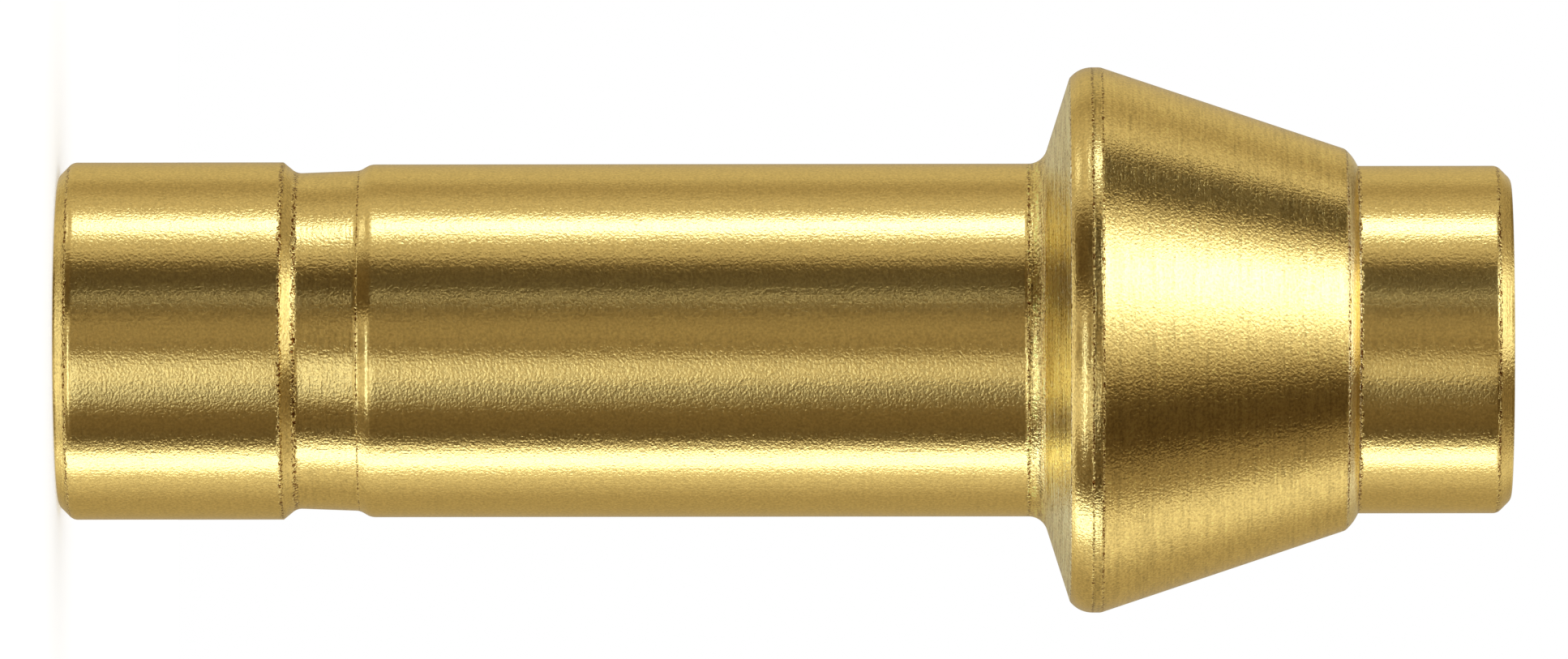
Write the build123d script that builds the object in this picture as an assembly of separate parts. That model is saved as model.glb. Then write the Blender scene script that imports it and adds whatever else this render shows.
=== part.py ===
from build123d import *
import os
from math import cos, radians, sin, tan

# One-piece tube-fitting port connector, turned from brass bar, with a hole right through it.
# Lengths are millimetres and angles are degrees. The axis is Z: the stub end stands on Z = 0.

# Stub end: a full-size collar, the part that goes first into a tube fitting
tube_diameter = 6.35
collar_length = 4.0
stub_chamfer = 0.26

# Bore, drilled right through, which leaves this wall under the collar
collar_wall = 0.775
bore_chamfer = 0.1

# Groove behind the collar, where a loose ferrule sets; its floor rises towards the shank
groove_depth = 0.195
groove_length = 1.55
groove_entry_angle = 39.5
groove_floor_angle = 2.1
groove_exit_angle = 30.5
groove_root_radius = 0.25
groove_exit_radius = 0.3

# Shank, turned a little under the tube size
shank_relief = 0.04
shank_length = 11.93

# Integral ferrule: steep back face, crowned rim, short land, then the long sealing cone
ferrule_diameter = 9.69
back_face_angle = 72.3
back_root_radius = 0.34
back_edge_radius = 0.1
crown_radius = 0.6
crown_turn = 47.0
land_length = 0.105
cone_half_angle = 18.5

# Front of the cone, a low crowned face between the cone's small end and the nose
front_face_angle = 53.0
front_face_height = 0.305
front_crown_radius = 1.0
front_edge_radius = 0.15

# Nose, which centres in the mating body
nose_relief = 0.088
nose_length = 2.72
nose_chamfer = 0.25

# Tumbling eases the two corners of each end chamfer
chamfer_top_radius = 0.2
chamfer_foot_radius = 0.2

collar_radius = tube_diameter / 2
bore_radius = collar_radius - collar_wall
groove_radius = collar_radius - groove_depth
shank_radius = collar_radius - shank_relief
ferrule_radius = ferrule_diameter / 2
nose_radius = collar_radius - nose_relief


def rise(angle):
    """Change in radius for each millimetre along the axis, on a face at this angle to the axis."""
    return tan(radians(angle))


def groove_corners(start_z):
    """The groove's root, the foot of its exit slope and the top of that slope, each as (radius, z)."""
    root_z = start_z + groove_depth / rise(groove_entry_angle)
    top_z = start_z + groove_length
    # the rising floor, drawn from the root, meets the exit slope, drawn back from its top
    climb = shank_radius - groove_radius - (top_z - root_z) * rise(groove_floor_angle)
    foot_z = top_z - climb / (rise(groove_exit_angle) - rise(groove_floor_angle))
    foot_radius = groove_radius + (foot_z - root_z) * rise(groove_floor_angle)
    return (groove_radius, root_z), (foot_radius, foot_z), (shank_radius, top_z)


def corner(outline, place):
    """The outline's corner nearest to a (radius, z) place."""
    return outline.vertices().sort_by_distance((*place, 0))[0]


def connector_outline():
    """Half section with X as the radius and Y as the height, from the bore wall to the turned surface."""
    root, exit_foot, shank_start = groove_corners(collar_length)
    back_foot = (shank_radius, shank_start[1] + shank_length)

    # the back face climbs to the crown, which turns from the back face towards the land
    crown_drop = crown_radius * (1 - cos(radians(crown_turn)))
    crown_end_radius = ferrule_radius - crown_drop
    back_height = crown_end_radius - shank_radius
    back_edge = (crown_end_radius, back_foot[1] + back_height / rise(back_face_angle))
    land_start = (ferrule_radius, back_edge[1] + crown_radius * sin(radians(crown_turn)))
    land_end = (ferrule_radius, land_start[1] + land_length)

    # the cone runs down to the front face, and the front face to the nose
    front_radius = nose_radius + front_face_height
    cone_end = (front_radius, land_end[1] + (ferrule_radius - front_radius) / rise(cone_half_angle))
    nose_foot = (nose_radius, cone_end[1] + front_face_height / rise(front_face_angle))
    top_z = nose_foot[1] + nose_length

    stub_face = (collar_radius - stub_chamfer, 0)
    stub_edge = (collar_radius, stub_chamfer)
    nose_edge = (nose_radius, top_z - nose_chamfer)
    nose_face = (nose_radius - nose_chamfer, top_z)

    stub_side = Polyline(
        (bore_radius, bore_chamfer),
        (bore_radius + bore_chamfer, 0),
        stub_face,
        stub_edge,
        (collar_radius, collar_length),
        root,
        exit_foot,
        shank_start,
        back_foot,
        back_edge,
    )
    crown = JernArc(start=land_start, tangent=(0, -1), radius=crown_radius, arc_size=-crown_turn)
    cone_side = Polyline(land_start, land_end, cone_end)
    front = RadiusArc(nose_foot, cone_end, front_crown_radius)
    nose_side = Polyline(
        nose_foot,
        nose_edge,
        nose_face,
        (bore_radius + bore_chamfer, top_z),
        (bore_radius, top_z - bore_chamfer),
        (bore_radius, bore_chamfer),
    )
    sides = (stub_side, crown, cone_side, front, nose_side)
    outline = make_face([edge for side in sides for edge in side.edges()])

    rounds = {
        stub_face: chamfer_foot_radius,
        stub_edge: chamfer_top_radius,
        root: groove_root_radius,
        exit_foot: groove_exit_radius,
        shank_start: groove_exit_radius,
        back_foot: back_root_radius,
        back_edge: back_edge_radius,
        cone_end: front_edge_radius,
        nose_edge: chamfer_top_radius,
        nose_face: chamfer_foot_radius,
    }
    for place, radius in rounds.items():
        outline = fillet(corner(outline, place), radius)
    return outline


def port_connector():
    """The whole connector: its half section turned once round the Z axis."""
    return revolve(Plane.XZ * connector_outline(), axis=Axis.Z)


connector = port_connector()
connector.label = "port_connector"
size = connector.bounding_box().size
print(f"port_connector: {size.Z:.3f} long, {size.X:.3f} across, {connector.volume:.1f} mm3")

os.makedirs("parts", exist_ok=True)
export_step(connector, "parts/port_connector.step")
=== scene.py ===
import math

import bpy
import numpy as np
from mathutils import Matrix, Vector


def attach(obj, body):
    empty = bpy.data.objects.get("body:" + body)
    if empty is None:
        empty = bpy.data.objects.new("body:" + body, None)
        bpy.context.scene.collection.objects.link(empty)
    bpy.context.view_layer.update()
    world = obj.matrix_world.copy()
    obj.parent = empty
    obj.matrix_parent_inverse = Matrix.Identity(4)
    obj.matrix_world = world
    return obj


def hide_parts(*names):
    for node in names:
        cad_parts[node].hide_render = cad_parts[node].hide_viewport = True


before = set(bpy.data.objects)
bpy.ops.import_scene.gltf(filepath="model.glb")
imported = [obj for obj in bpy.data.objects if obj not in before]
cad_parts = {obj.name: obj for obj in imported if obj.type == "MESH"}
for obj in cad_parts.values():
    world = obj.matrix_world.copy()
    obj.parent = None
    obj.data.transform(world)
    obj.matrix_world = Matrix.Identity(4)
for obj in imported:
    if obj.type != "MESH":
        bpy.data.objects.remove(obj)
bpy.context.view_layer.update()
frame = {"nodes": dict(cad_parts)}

mm = 0.001
print("frame loaded:", ", ".join(frame["nodes"]))


# shape of the turned connector, in millimetres and degrees
connector = {
    "tubeRadius": 3.175,
    "collarLength": 4.0,
    "stubChamfer": 0.26,
    "wall": 0.775,
    "boreChamfer": 0.1,
    "grooveDepth": 0.195,
    "grooveLength": 1.55,
    "grooveEntryAngle": 39.5,
    "grooveFloorAngle": 2.1,
    "grooveExitAngle": 30.5,
    "shankRelief": 0.04,
    "shankLength": 11.93,
    "ferruleRadius": 4.845,
    "backFaceAngle": 72.3,
    "crownRadius": 0.6,
    "crownTurn": 47.0,
    "landLength": 0.105,
    "coneHalfAngle": 18.5,
    "frontAngle": 53.0,
    "frontHeight": 0.305,
    "frontTurn": 22.0,
    "noseRelief": 0.088,
    "noseLength": 2.72,
    "noseChamfer": 0.25,
    "stepsAround": 320,
    "longestStep": 0.6,
    "degreesPerArcStep": 6.0,
    # Each corner up the outside from the bore's lower mouth and back down the bore: rounding radius, width
    # of a ragged tool edge, where in the rounding that edge lies (0 at its start, 1 at its end), and then
    # for the run that follows the tool mark depth and its painted sheen, a paler colour that stands in for
    # bright highlights, which below 0 is a painted shade, a darker colour that stands in for dark
    # reflections.
    "corners": {
        "lower mouth": (0.02, 0.7, 0.5, 0.5, 0),
        "stub face": (0.2, 0, 0, 0.6, 0),
        "stub edge": (0.2, 0.8, 0, 0.12, 0),
        "collar end": (0.02, 1.0, 0.5, 0.6, 0),
        "groove root": (0.25, 1.1, 0.5, 0.35, 0),
        "groove exit": (0.3, 0.4, 0.5, 0.2, 0),
        "shank start": (0.3, 0, 0, 0.12, 0),
        # the last value paints a sheen on the back face and the front face, and a painted shade on the land
        "back foot": (0.34, 0.6, 0, 2.2, 1.0),
        "back edge": (0.1, 0.3, 0.5, 0.4, 0),
        "crown": (0.5, 0.5, 1, 1.0, -0.15),
        "cone start": (0.2, 0.5, 1, 0.7, 0),
        "cone end": (0.13, 0, 1, 0.6, 0.5),
        "front bend": (0.8, 0.6, 0, 0.6, 0.8),
        "nose foot": (0.02, 1.0, 0.5, 0.12, 0),
        "nose edge": (0.2, 0.7, 0.5, 0.5, 0),
        "nose face": (0.2, 0, 0, 0.6, 0),
        "upper mouth": (0.02, 0.7, 0.5, 0.5, 0),
        "bore top": (0.02, 0, 0, 0.8, 0),
        "bore foot": (0.02, 0, 0, 0.8, 0),
    },
}


def rise(angle):  # change in radius for each millimetre along the axis
    return math.tan(math.radians(angle))


# Corners of the half section, one row each: radius and height, then the corner's values in the dictionary.
# A sloping side ends at the height where it starts plus its change in radius over the rise of its angle.
def connectorCorners(c):
    collar = c["tubeRadius"]
    bore = collar - c["wall"]
    shank = collar - c["shankRelief"]
    nose = collar - c["noseRelief"]
    ferrule = c["ferruleRadius"]
    rootRadius = collar - c["grooveDepth"]
    rootZ = c["collarLength"] + c["grooveDepth"] / rise(c["grooveEntryAngle"])
    shankZ = c["collarLength"] + c["grooveLength"]
    climb = shank - rootRadius - (shankZ - rootZ) * rise(c["grooveFloorAngle"])
    footZ = shankZ - climb / (rise(c["grooveExitAngle"]) - rise(c["grooveFloorAngle"]))
    footRadius = rootRadius + (footZ - rootZ) * rise(c["grooveFloorAngle"])

    # the crown is a round between the land and a line at its end angle
    turn = math.radians(c["crownTurn"])
    backZ = shankZ + c["shankLength"]
    crownEnd = ferrule - c["crownRadius"] * (1 - math.cos(turn))
    crownEndZ = backZ + (crownEnd - shank) / rise(c["backFaceAngle"])
    crownTipZ = crownEndZ + (ferrule - crownEnd) / math.tan(turn)
    landZ = crownEndZ + c["crownRadius"] * math.sin(turn)
    coneZ = landZ + c["landLength"]

    # so is the low front face, whose two halves lean either side of its chord
    front = nose + c["frontHeight"]
    frontZ = coneZ + (ferrule - front) / rise(c["coneHalfAngle"])
    noseZ = frontZ + c["frontHeight"] / rise(c["frontAngle"])
    flatter, steeper = rise(c["frontAngle"] - c["frontTurn"] / 2), rise(c["frontAngle"] + c["frontTurn"] / 2)
    bendZ = (c["frontHeight"] - steeper * (noseZ - frontZ)) / (flatter - steeper)
    topZ = noseZ + c["noseLength"]

    places = {
        "lower mouth": (bore + c["boreChamfer"], 0),
        "stub face": (collar - c["stubChamfer"], 0),
        "stub edge": (collar, c["stubChamfer"]),
        "collar end": (collar, c["collarLength"]),
        "groove root": (rootRadius, rootZ),
        "groove exit": (footRadius, footZ),
        "shank start": (shank, shankZ),
        "back foot": (shank, backZ),
        "back edge": (crownEnd, crownEndZ),
        "crown": (ferrule, crownTipZ),
        "cone start": (ferrule, coneZ),
        "cone end": (front, frontZ),
        "front bend": (front - flatter * bendZ, frontZ + bendZ),
        "nose foot": (nose, noseZ),
        "nose edge": (nose, topZ - c["noseChamfer"]),
        "nose face": (nose - c["noseChamfer"], topZ),
        "upper mouth": (bore + c["boreChamfer"], topZ),
        "bore top": (bore, topZ - c["boreChamfer"]),
        "bore foot": (bore, c["boreChamfer"]),
    }
    return np.array([(*places[name], *finish) for name, finish in c["corners"].items()])


# Rounds every corner of a closed outline. The arc leaves each side at radius times tan(half the turn)
# from the corner. Straight runs are cut into four or more steps, no longer than longestStep on average and
# closer together near the corners: a cut's share of the run is half of 1 minus the cosine of an angle that
# grows evenly to a half turn. The painted sheen and shade change with the cube of the way round an arc.
# Each point comes back as radius, height, way along the outline, way to the nearest ragged edge over its
# width, mark depth and painted sheen, which is a painted shade where it is below 0.
def roundedOutline(corners, longestStep, degreesPerArcStep):
    here = corners[:, :2]
    ahead = np.roll(here, -1, axis=0) - here
    ahead /= np.linalg.norm(ahead, axis=1)[:, None]
    behind = np.roll(ahead, 1, axis=0)
    turn = np.arctan2(behind[:, 0] * ahead[:, 1] - behind[:, 1] * ahead[:, 0], (behind * ahead).sum(1))
    reach = corners[:, 2] * np.tan(np.abs(turn) / 2)
    start = here - behind * reach[:, None]
    stop = here + ahead * reach[:, None]
    side = np.stack([-behind[:, 1], behind[:, 0]], 1) * np.sign(turn)[:, None]
    centre = start + side * corners[:, 2][:, None]
    pieces = []
    for i in range(len(corners)):
        halfSteps = max(2, math.ceil(abs(math.degrees(turn[i])) / degreesPerArcStep / 2))
        swing = np.linspace(0, turn[i], 2 * halfSteps + 1)
        arm = start[i] - centre[i]
        arc = centre[i] + np.stack([
            arm[0] * np.cos(swing) - arm[1] * np.sin(swing),
            arm[0] * np.sin(swing) + arm[1] * np.cos(swing),
        ], 1)
        following = start[(i + 1) % len(corners)]
        run = np.linalg.norm(following - stop[i])
        cuts = max(4, math.ceil(run / longestStep))
        along = (0.5 - 0.5 * np.cos(np.linspace(0, math.pi, cuts + 1)))[1:-1, None]
        straight = stop[i] + (following - stop[i]) * along
        edgeIndex = round(2 * halfSteps * corners[i, 4])  # tool marks change here
        finish = np.tile(corners[i, 5:7], (len(arc) + len(straight), 1))
        finish[:edgeIndex, 0] = corners[i - 1, 5]
        blend = np.linspace(0, 1, len(arc)) ** 3
        finish[:len(arc), 1] = corners[i - 1, 6] + (corners[i, 6] - corners[i - 1, 6]) * blend
        edge = np.zeros((len(finish), 1))
        edge[edgeIndex] = corners[i, 3]
        pieces.append(np.hstack([np.vstack([arc, straight]), edge, finish]))
    points = np.vstack(pieces)
    way = np.concatenate([[0], np.cumsum(np.linalg.norm(np.diff(points[:, :2], axis=0), axis=1))])
    isEdge = points[:, 2] > 0
    toEdge = (np.abs(way[:, None] - way[isEdge]) / points[isEdge, 2]).min(1)
    return np.column_stack([points[:, :2], way, toEdge, points[:, 3:]])


# Turns a closed outline round the Z axis: point (u, v) is the outline's radius and height at v,
# swung round by u. Every quad faces outwards.
def turnedMesh(name, outline, stepsAround):
    radius, height, way, toEdge, marks, paintedSheenAndShade = outline.T
    rows = len(outline)
    angle = np.arange(stepsAround) * 2 * math.pi / stepsAround
    points = np.empty((rows, stepsAround, 3))
    points[..., 0] = radius[:, None] * np.cos(angle)
    points[..., 1] = radius[:, None] * np.sin(angle)
    points[..., 2] = height[:, None]
    row, column = np.meshgrid(np.arange(rows), np.arange(stepsAround), indexing="ij")
    nextRow, nextColumn = (row + 1) % rows, (column + 1) % stepsAround
    quads = np.stack([
        row * stepsAround + column,
        row * stepsAround + nextColumn,
        nextRow * stepsAround + nextColumn,
        nextRow * stepsAround + column,
    ], -1).reshape(-1, 4)
    mesh = bpy.data.meshes.new(name)
    mesh.from_pydata((points.reshape(-1, 3) * mm).tolist(), [], quads.tolist())
    mesh.polygons.foreach_set("use_smooth", np.ones(len(quads), bool))
    # the last attribute is painted light: a painted sheen for highlights above 0, a painted shade below 0
    attributes = (("wayAlong", way * mm), ("toEdge", toEdge), ("toolMarks", marks), ("paintedSheenAndShade", paintedSheenAndShade))
    for title, values in attributes:
        attribute = mesh.attributes.new(title, "FLOAT", "POINT")
        attribute.data.foreach_set("value", np.repeat(values, stepsAround).astype(np.float32))
    mesh.update()
    return mesh


corners = connectorCorners(connector)
outline = roundedOutline(corners, connector["longestStep"], connector["degreesPerArcStep"])
connectorMesh = turnedMesh("turned_connector", outline, connector["stepsAround"])
turnedConnector = bpy.data.objects.new("turned_connector", connectorMesh)
bpy.context.collection.objects.link(turnedConnector)
print("turned connector:", len(connectorMesh.polygons) * 2, "triangles,", len(outline), "outline points")


# adds a node and sets its properties
def addNode(tree, kind, **settings):
    node = tree.nodes.new(kind)
    for key, value in settings.items():
        setattr(node, key, value)
    return node


# feeds a socket with a number, a tuple or another node's output
def feed(tree, socket, value):
    if isinstance(value, bpy.types.NodeSocket):
        tree.links.new(value, socket)
    else:
        socket.default_value = value


# one Math node on up to three numbers or outputs
def calc(tree, operation, first, second=0.0, third=0.0):
    node = addNode(tree, "ShaderNodeMath", operation=operation)
    for socket, value in zip(node.inputs, (first, second, third)):
        feed(tree, socket, value)
    return node.outputs[0]


# smooth step of a value from one limit, where it gives 0, to another, where it gives 1
def ramp(tree, value, zeroAt, oneAt):
    node = addNode(tree, "ShaderNodeMapRange", interpolation_type="SMOOTHSTEP")
    if zeroAt > oneAt:  # the node wants its limits in rising order
        zeroAt, oneAt = oneAt, zeroAt
        node.inputs["To Min"].default_value = 1.0
        node.inputs["To Max"].default_value = 0.0
    feed(tree, node.inputs["Value"], value)
    node.inputs["From Min"].default_value = zeroAt
    node.inputs["From Max"].default_value = oneAt
    return node.outputs["Result"]


# satin turned brass, with lengths and depths in metres
brass = {
    "colour": (0.85, 0.64, 0.22),
    # colour of the painted sheen, a paler colour that stands in for bright highlights on the back and front
    # faces
    "paintedSheenColour": (0.95, 0.85, 0.56),
    # colour of the painted shade in the low spots of each ragged edge
    "shadowColour": (0.2, 0.075, 0.012),
    "edgeTint": (1.0, 0.95, 0.7),
    "mottle": 0.8,
    "roughness": 0.16,
    "haze": 0.29,  # share of the hazier shader
    "hazeRoughness": 0.3,
    "hazeTint": (1.0, 0.9, 0.68),
    "roughnessSpread": 0.04,
    "anisotropy": 0.6,
    "anisotropyTurn": 0.25,
    "grainSize": 4.8e-5,
    "grainDepth": 4.2e-6,
    "strokeWidth": 5.5e-5,
    "strokeLength": 7e-4,
    "strokeDepth": 7e-6,
    "ringWidth": 1e-4,
    "ringLength": 0.02,
    "ringDepth": 6e-6,
    "streakWidth": 9e-5,
    "streakLength": 6e-3,
    "streakDepth": 1.6e-6,
    "edgeWidth": 5e-5,
    "edgeGrain": 1e-4,
    "edgeDepth": 1.4e-5,
    "edgeReach": 0.3,  # widths that an edge reaches where it is thinnest
    "edgeFade": 0.4,  # widths over which it fades away
    "edgeRagged": (0.35, 0.65),  # noise levels where it is thinnest and one width wider
    # grain levels where the painted shade of an edge begins and where it is full
    "edgeShade": (0.56, 0.42),  # grain levels where an edge starts to be dark and is fully dark
    "plainGrain": 0.95,
    "markedGrain": 0.8,  # what tool marks of depth 1 add to the grain's strength
    "strokeTone": 1.1,  # how strongly the strokes and the rings show in the colour
    "ringTone": 0.9,
}


# noise between about 0 and 1 whose blotches have the given size along each axis
def noise(tree, place, size, detail, roughness):
    mapping = addNode(tree, "ShaderNodeMapping")
    feed(tree, mapping.inputs["Vector"], place)
    mapping.inputs["Scale"].default_value = tuple(1 / length for length in size)
    texture = addNode(tree, "ShaderNodeTexNoise")
    feed(tree, texture.inputs["Vector"], mapping.outputs["Vector"])
    texture.inputs["Scale"].default_value = 1.0
    texture.inputs["Detail"].default_value = detail
    texture.inputs["Roughness"].default_value = roughness
    return texture.outputs[0]


# Height of the surface: grain everywhere, short strokes and long rings as deep as the tool marks there,
# streaks along the axis where the tool marks are faint, and a ragged line at each machined edge.
# The finish is a sharp shader with a share of a hazier one mixed in.
def brassMaterial(b):
    material = bpy.data.materials.new("satin_turned_brass")
    material.use_nodes = True
    tree = material.node_tree
    shader = tree.nodes["Principled BSDF"]
    haze = addNode(tree, "ShaderNodeBsdfPrincipled")
    position = addNode(tree, "ShaderNodeSeparateXYZ")
    feed(tree, position.inputs[0], addNode(tree, "ShaderNodeTexCoord").outputs["Object"])
    along = addNode(tree, "ShaderNodeAttribute", attribute_name="wayAlong").outputs["Fac"]
    marks = addNode(tree, "ShaderNodeAttribute", attribute_name="toolMarks").outputs["Fac"]
    toEdge = addNode(tree, "ShaderNodeAttribute", attribute_name="toEdge").outputs["Fac"]
    unrolled = addNode(tree, "ShaderNodeCombineXYZ")
    feed(tree, unrolled.inputs["X"], position.outputs["X"])
    feed(tree, unrolled.inputs["Y"], position.outputs["Y"])
    feed(tree, unrolled.inputs["Z"], along)
    place = unrolled.outputs[0]

    strokeSize = (b["strokeLength"], b["strokeLength"], b["strokeWidth"])
    ringSize = (b["ringLength"], b["ringLength"], b["ringWidth"])
    streakSize = (b["streakWidth"], b["streakWidth"], b["streakLength"])
    grain = noise(tree, place, (b["grainSize"],) * 3, detail=1.5, roughness=0.6)
    strokes = noise(tree, place, strokeSize, detail=2.0, roughness=0.6)
    rings = noise(tree, place, ringSize, detail=3.0, roughness=0.65)
    streaks = noise(tree, place, streakSize, detail=2.0, roughness=0.6)
    ragged = noise(tree, place, (b["edgeGrain"],) * 3, detail=2.0, roughness=0.7)

    nearness = calc(tree, "MULTIPLY_ADD", toEdge, -mm / b["edgeWidth"], ramp(tree, ragged, *b["edgeRagged"]))
    edge = ramp(tree, calc(tree, "ADD", nearness, b["edgeReach"]), 0.0, b["edgeFade"])
    plain = calc(tree, "MAXIMUM", calc(tree, "SUBTRACT", 1.0, marks), 0.0)
    grainStrength = calc(tree, "MULTIPLY_ADD", marks, b["markedGrain"], b["plainGrain"])
    height = calc(tree, "MULTIPLY", calc(tree, "MULTIPLY", grain, grainStrength), b["grainDepth"])
    height = calc(tree, "MULTIPLY_ADD", calc(tree, "MULTIPLY", strokes, marks), b["strokeDepth"], height)
    height = calc(tree, "MULTIPLY_ADD", calc(tree, "MULTIPLY", rings, marks), b["ringDepth"], height)
    height = calc(tree, "MULTIPLY_ADD", calc(tree, "MULTIPLY", streaks, plain), b["streakDepth"], height)
    height = calc(tree, "MULTIPLY_ADD", calc(tree, "MULTIPLY", edge, grain), b["edgeDepth"], height)
    bump = addNode(tree, "ShaderNodeBump")
    bump.inputs["Distance"].default_value = 1.0
    feed(tree, bump.inputs["Height"], height)
    feed(tree, shader.inputs["Normal"], bump.outputs["Normal"])
    feed(tree, haze.inputs["Normal"], bump.outputs["Normal"])

    # the grain and the tool marks show in the colour too, and the low spots of a ragged edge get a painted
    # shade
    lines = calc(tree, "MULTIPLY_ADD", rings, b["ringTone"], -(b["strokeTone"] + b["ringTone"]) / 2)
    lines = calc(tree, "MULTIPLY_ADD", strokes, b["strokeTone"], lines)
    mottle = calc(tree, "MULTIPLY", calc(tree, "SUBTRACT", grain, 0.5), grainStrength)
    mottle = calc(tree, "MULTIPLY_ADD", lines, marks, mottle)
    # painted light in the colour: the attribute read next is a painted sheen above 0 and a painted shade
    # below 0
    paintedSheenAndShade = addNode(tree, "ShaderNodeAttribute", attribute_name="paintedSheenAndShade").outputs["Fac"]
    paintedShade = calc(tree, "ADD", calc(tree, "MINIMUM", paintedSheenAndShade, 0.0), 1.0)  # below 0 it is a darkness
    level = calc(tree, "MULTIPLY_ADD", mottle, b["mottle"], paintedShade)
    paintedSheen = addNode(tree, "ShaderNodeMix", data_type="RGBA")
    feed(tree, paintedSheen.inputs["Factor"], paintedSheenAndShade)
    feed(tree, paintedSheen.inputs["A"], (*b["colour"], 1))
    feed(tree, paintedSheen.inputs["B"], (*b["paintedSheenColour"], 1))
    mottled = addNode(tree, "ShaderNodeVectorMath", operation="SCALE")
    feed(tree, mottled.inputs[0], paintedSheen.outputs["Result"])
    feed(tree, mottled.inputs["Scale"], level)
    # painted shade: the low spots of each ragged edge turn to the shadow colour
    colour = addNode(tree, "ShaderNodeMix", data_type="RGBA")
    feed(tree, colour.inputs["Factor"], calc(tree, "MULTIPLY", edge, ramp(tree, grain, *b["edgeShade"])))
    feed(tree, colour.inputs["A"], mottled.outputs[0])
    feed(tree, colour.inputs["B"], (*b["shadowColour"], 1))
    for part, roughness in ((shader, b["roughness"]), (haze, b["hazeRoughness"])):
        mottledRoughness = calc(tree, "MULTIPLY_ADD", mottle, b["roughnessSpread"], roughness)
        feed(tree, part.inputs["Roughness"], mottledRoughness)
        part.inputs["Metallic"].default_value = 1.0
        part.inputs["Specular Tint"].default_value = (*b["edgeTint"], 1)
        part.inputs["Anisotropic"].default_value = b["anisotropy"]
        part.inputs["Anisotropic Rotation"].default_value = b["anisotropyTurn"]
    hazeColour = addNode(tree, "ShaderNodeVectorMath", operation="MULTIPLY")
    feed(tree, hazeColour.inputs[0], colour.outputs["Result"])
    feed(tree, hazeColour.inputs[1], b["hazeTint"])
    feed(tree, shader.inputs["Base Color"], colour.outputs["Result"])
    feed(tree, haze.inputs["Base Color"], hazeColour.outputs[0])
    both = addNode(tree, "ShaderNodeMixShader")
    both.inputs[0].default_value = b["haze"]
    feed(tree, both.inputs[1], shader.outputs[0])
    feed(tree, both.inputs[2], haze.outputs[0])
    feed(tree, tree.nodes["Material Output"].inputs["Surface"], both.outputs[0])
    return material


connectorMesh.materials.append(brassMaterial(brass))
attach(turnedConnector, "root")
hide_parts("port_connector")
print("brass finish done")


# studio: a white surround, a pale floor and a tent of soft boxes and dark cards, with angles in degrees
everyLean = (-180, -180, 180, 180)
upright = (-12, -8, 8, 12)
coneLean = (20, 27, 52, 62)
downward = (-180, -180, -18, -10)
upward = (54, 64, 180, 180)
studio = {
    "tentRadius": 0.6,
    "tentSides": 96,
    "tentBands": 48,
    "floorRadius": 0.06,
    "floorSides": 96,
    "paperColour": (0.75, 0.75, 0.75, 1),
    "paperRoughness": 0.9,
    "paperGlow": 0.35,
    "roomLevel": 0.45,
    "greenPower": 1.16,
    "bluePower": 1.42,
    # Each panel: turns where it begins, is full, starts to end and ends, the same for lean, and its level.
    # A face turned and leant by half these angles shows that part of the tent to a viewer far out on -Y.
    "panels": {
        "left room": ((-180, -134, -131, -121), everyLean, 0.64),
        "left wall": ((-116, -100, -60, -50), everyLean, 0.64),
        "left gap": ((-126, -121, -115, -106), (-14, -8, 8, 14), 0.42),
        "right wall": ((66, 76, 94, 126), everyLean, 0.84),
        "dark front": ((-58, -48, 69, 76), everyLean, 0.045),
        "grey front": ((-27, -8, 0, 8), (-180, -180, 20, 28), 0.31),
        "thin line": ((-29.5, -28.5, -27.5, -26.5), upright, 1.2),
        "dark right": ((30, 44, 56, 68), (-180, -180, 16, 26), 0.155),
        "middle light": ((4, 13, 21, 33), (-180, -180, 16, 26), 0.5),
        "middle line": ((19, 22, 24, 28), upright, 0.64),
        "low light": ((-20, -12, -8, -3), downward, 0.65),
        "low front": ((-8, -2, 40, 60), downward, 0.34),
        "low middle": ((9, 18, 34, 48), downward, 0.8),
        "right strip": ((74, 83, 89.5, 93), (-92, -74, 14, 24), 2.7),
        "cone right": ((80, 88, 96, 108), coneLean, 0.95),
        "left strip": ((-89, -84, -77, -70.5), (-12, -5, 14, 22), 3.1),
        "left slope": ((-89, -84, -77, -70.5), (-72, -65, -57, -50), 1.7),
        "cone left": ((-104, -98, -94, -88), coneLean, 0.8),
        "high left": ((-150, -130, -70, -56), upward, 0.44),
        "front left": ((-130, -110, -60, -40), (96, 104, 180, 180), 0.2),
        "cone shade": ((-94, -86, -64, -58), coneLean, 0.03),
        "cone glow": ((-59, -51, -5, 27), coneLean, 0.95),
        "cone light": ((-52, -38, -24, 1), coneLean, 2.6),
        "cone gap": ((24, 32, 41, 50), coneLean, 0.07),
        "high glow": ((-60, -36, -2, 30), upward, 1.55),
        "high right": ((20, 36, 50, 62), upward, 0.26),
        "cone end": ((48, 58, 70, 80), coneLean, 0.32),
        "high end": ((50, 64, 78, 90), upward, 0.52),
        "front glow": ((-44, -18, -14, 4), (92, 97, 180, 180), 0.36),
        "front right": ((4, 20, 60, 80), (92, 97, 180, 180), 0.15),
        "low left": ((-62, -54, -34, -22), downward, 0.12),
        "low right": ((38, 50, 62, 72), downward, 0.18),
        "back face light": ((-12, 0, 40, 52), (-41, -37, -34, -31), 3.2),
        "groove light": ((8, 14, 34, 46), (-12, -8, -5, -4), 2.3),
        "chamfer light": ((-84, 0, 38, 100), (-106, -99, -86, -80), 1.3),
    },
}


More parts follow.
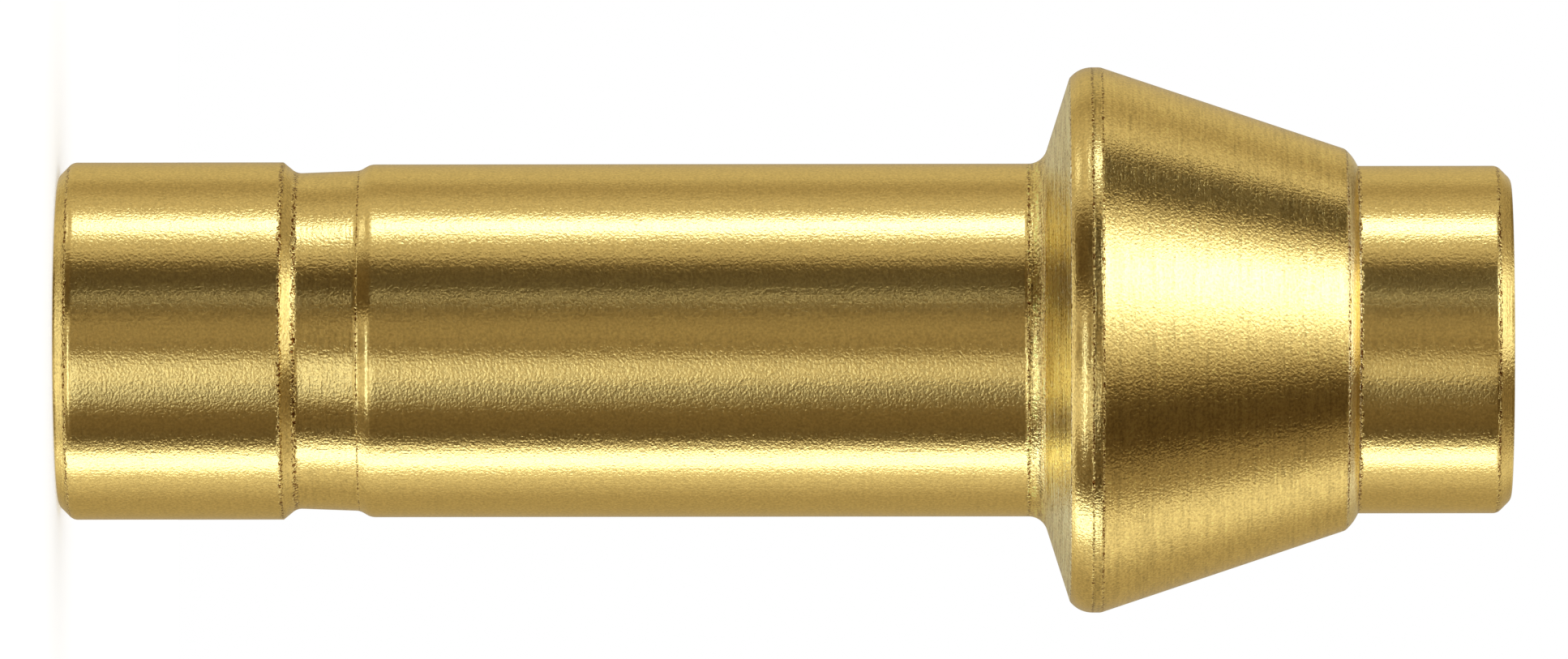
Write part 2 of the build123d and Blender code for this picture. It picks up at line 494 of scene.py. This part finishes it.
# Level at a turn and lean: each panel in turn is laid over what is behind it by its soft-edged mask.
# The surround is browner where it is darker: green and blue are the level to a power.
def tentMaterial(s):
    material = bpy.data.materials.new("studio_tent")
    material.use_nodes = True
    tree = material.node_tree
    tree.nodes.clear()
    place = addNode(tree, "ShaderNodeTexCoord").outputs["Object"]
    direction = addNode(tree, "ShaderNodeVectorMath", operation="NORMALIZE")
    feed(tree, direction.inputs[0], place)
    split = addNode(tree, "ShaderNodeSeparateXYZ")
    feed(tree, split.inputs[0], direction.outputs[0])
    toDegrees = 180 / math.pi
    # a face along (x, y - 1, z) shows the direction (x, y, z) to a viewer far out on -Y
    across = calc(tree, "SUBTRACT", 1.0, split.outputs["Y"])
    turn = calc(tree, "MULTIPLY", calc(tree, "ARCTAN2", split.outputs["X"], across), 2 * toDegrees)
    outward = calc(tree, "POWER", split.outputs["X"], 2.0)
    outward = calc(tree, "SQRT", calc(tree, "MULTIPLY_ADD", across, across, outward))
    lean = calc(tree, "MULTIPLY", calc(tree, "ARCTAN2", split.outputs["Z"], outward), 2 * toDegrees)
    level = s["roomLevel"]
    for turns, leans, panelLevel in s["panels"].values():
        mask = 1.0
        for value, (begins, full, leaves, ends) in ((turn, turns), (lean, leans)):
            if full > begins:
                mask = calc(tree, "MULTIPLY", mask, ramp(tree, value, begins, full))
            if ends > leaves:
                mask = calc(tree, "MULTIPLY", mask, ramp(tree, value, ends, leaves))
        level = calc(tree, "MULTIPLY_ADD", mask, calc(tree, "SUBTRACT", panelLevel, level), level)
    colour = addNode(tree, "ShaderNodeCombineColor")
    feed(tree, colour.inputs[0], level)
    feed(tree, colour.inputs[1], calc(tree, "POWER", level, s["greenPower"]))
    feed(tree, colour.inputs[2], calc(tree, "POWER", level, s["bluePower"]))
    glow = addNode(tree, "ShaderNodeEmission")
    feed(tree, glow.inputs["Color"], colour.outputs[0])
    output = addNode(tree, "ShaderNodeOutputMaterial")
    feed(tree, output.inputs["Surface"], glow.outputs[0])
    material.cycles.emission_sampling = "NONE"
    return material


# A sphere seen by reflections only. At an azimuth and a height angle its point is the radius times the
# cosine of the height times the cosine and sine of the azimuth, and the radius times the sine of the height.
def makeTent(s):
    around, bands = s["tentSides"], s["tentBands"]
    azimuth = np.arange(around) * 2 * math.pi / around
    height = np.linspace(-math.pi / 2, math.pi / 2, bands + 1)[1:-1]
    ringX = np.cos(height)[:, None] * np.cos(azimuth)
    ringY = np.cos(height)[:, None] * np.sin(azimuth)
    ringZ = np.repeat(np.sin(height)[:, None], around, 1)
    points = np.stack([ringX, ringY, ringZ], -1).reshape(-1, 3)
    points = np.vstack([points, (0, 0, -1), (0, 0, 1)]) * s["tentRadius"]
    row, column = np.meshgrid(np.arange(bands - 2), np.arange(around), indexing="ij")
    following = (column + 1) % around
    quads = np.stack([
        row * around + column,
        row * around + following,
        (row + 1) * around + following,
        (row + 1) * around + column,
    ], -1).reshape(-1, 4)
    first, last = np.arange(around), (bands - 2) * around + np.arange(around)
    below = np.stack([np.roll(first, -1), first, np.full(around, len(points) - 2)], 1)
    above = np.stack([last, np.roll(last, -1), np.full(around, len(points) - 1)], 1)
    mesh = bpy.data.meshes.new("studio_tent")
    mesh.from_pydata(points.tolist(), [], quads.tolist() + below.tolist() + above.tolist())
    mesh.materials.append(tentMaterial(s))
    tent = bpy.data.objects.new("studio_tent", mesh)
    bpy.context.collection.objects.link(tent)
    tent.visible_camera = False
    tent.visible_diffuse = False
    tent.visible_transmission = False
    tent.visible_volume_scatter = False
    tent.visible_shadow = False


# A round sheet of white paper on the plane that the connector stands on.
def makeFloor(s):
    around = s["floorSides"]
    azimuth = np.arange(around) * 2 * math.pi / around
    points = np.stack([np.cos(azimuth), np.sin(azimuth), np.zeros(around)], 1) * s["floorRadius"]
    mesh = bpy.data.meshes.new("studio_floor")
    mesh.from_pydata(points.tolist(), [], [list(range(around))])
    material = bpy.data.materials.new("white_paper")
    material.use_nodes = True
    shader = material.node_tree.nodes["Principled BSDF"]
    shader.inputs["Base Color"].default_value = s["paperColour"]
    shader.inputs["Roughness"].default_value = s["paperRoughness"]
    shader.inputs["Specular IOR Level"].default_value = 0.0
    shader.inputs["Emission Color"].default_value = (1, 1, 1, 1)
    shader.inputs["Emission Strength"].default_value = s["paperGlow"]
    mesh.materials.append(material)
    floor = bpy.data.objects.new("studio_floor", mesh)
    bpy.context.collection.objects.link(floor)
    floor.visible_glossy = False


# White in every direction, behind the tent and the floor.
def whiteWorld():
    world = bpy.data.worlds.new("white_surround")
    world.use_nodes = True
    world.node_tree.nodes["Background"].inputs["Color"].default_value = (1, 1, 1, 1)
    world.node_tree.nodes["Background"].inputs["Strength"].default_value = 1.0
    bpy.context.scene.world = world


makeTent(studio)
makeFloor(studio)
whiteWorld()
print("studio set")


# camera, lying on its side so that the axis runs across the frame, in millimetres and degrees
shot = {
    "distance": 376.0,
    "eyeHeight": 15.4,
    "frameCentreHeight": 12.889,
    "axisDrop": 0.184,
    "frameWidth": 27.86,
    "sensor": 36.0,
    "roll": -0.07,
}


# Looks from the eye to the frame's centre, with the turning axis running left to right a little below it.
# The focal length is the sensor's width times the distance, over the width of the frame at that distance.
def makeCamera(c):
    eye = Vector((-c["axisDrop"], -c["distance"], c["eyeHeight"])) * mm
    target = Vector((-c["axisDrop"], 0, c["frameCentreHeight"])) * mm
    back = (eye - target).normalized()
    right = Vector((0, 0, 1))
    right = (right - right.dot(back) * back).normalized()
    up = back.cross(right)
    turn = Matrix.Rotation(math.radians(c["roll"]), 3, back)
    right, up = turn @ right, turn @ up
    data = bpy.data.cameras.new("long_lens")
    data.sensor_width = c["sensor"]
    data.lens = c["sensor"] * (eye - target).length / mm / c["frameWidth"]
    data.clip_start = 0.01
    data.clip_end = 10.0
    camera = bpy.data.objects.new("long_lens", data)
    bpy.context.collection.objects.link(camera)
    camera.matrix_world = Matrix((
        (right.x, up.x, back.x, eye.x),
        (right.y, up.y, back.y, eye.y),
        (right.z, up.z, back.z, eye.z),
        (0, 0, 0, 1),
    ))
    bpy.context.scene.camera = camera


makeCamera(shot)
bpy.context.scene.view_settings.view_transform = "Standard"
print("camera set")
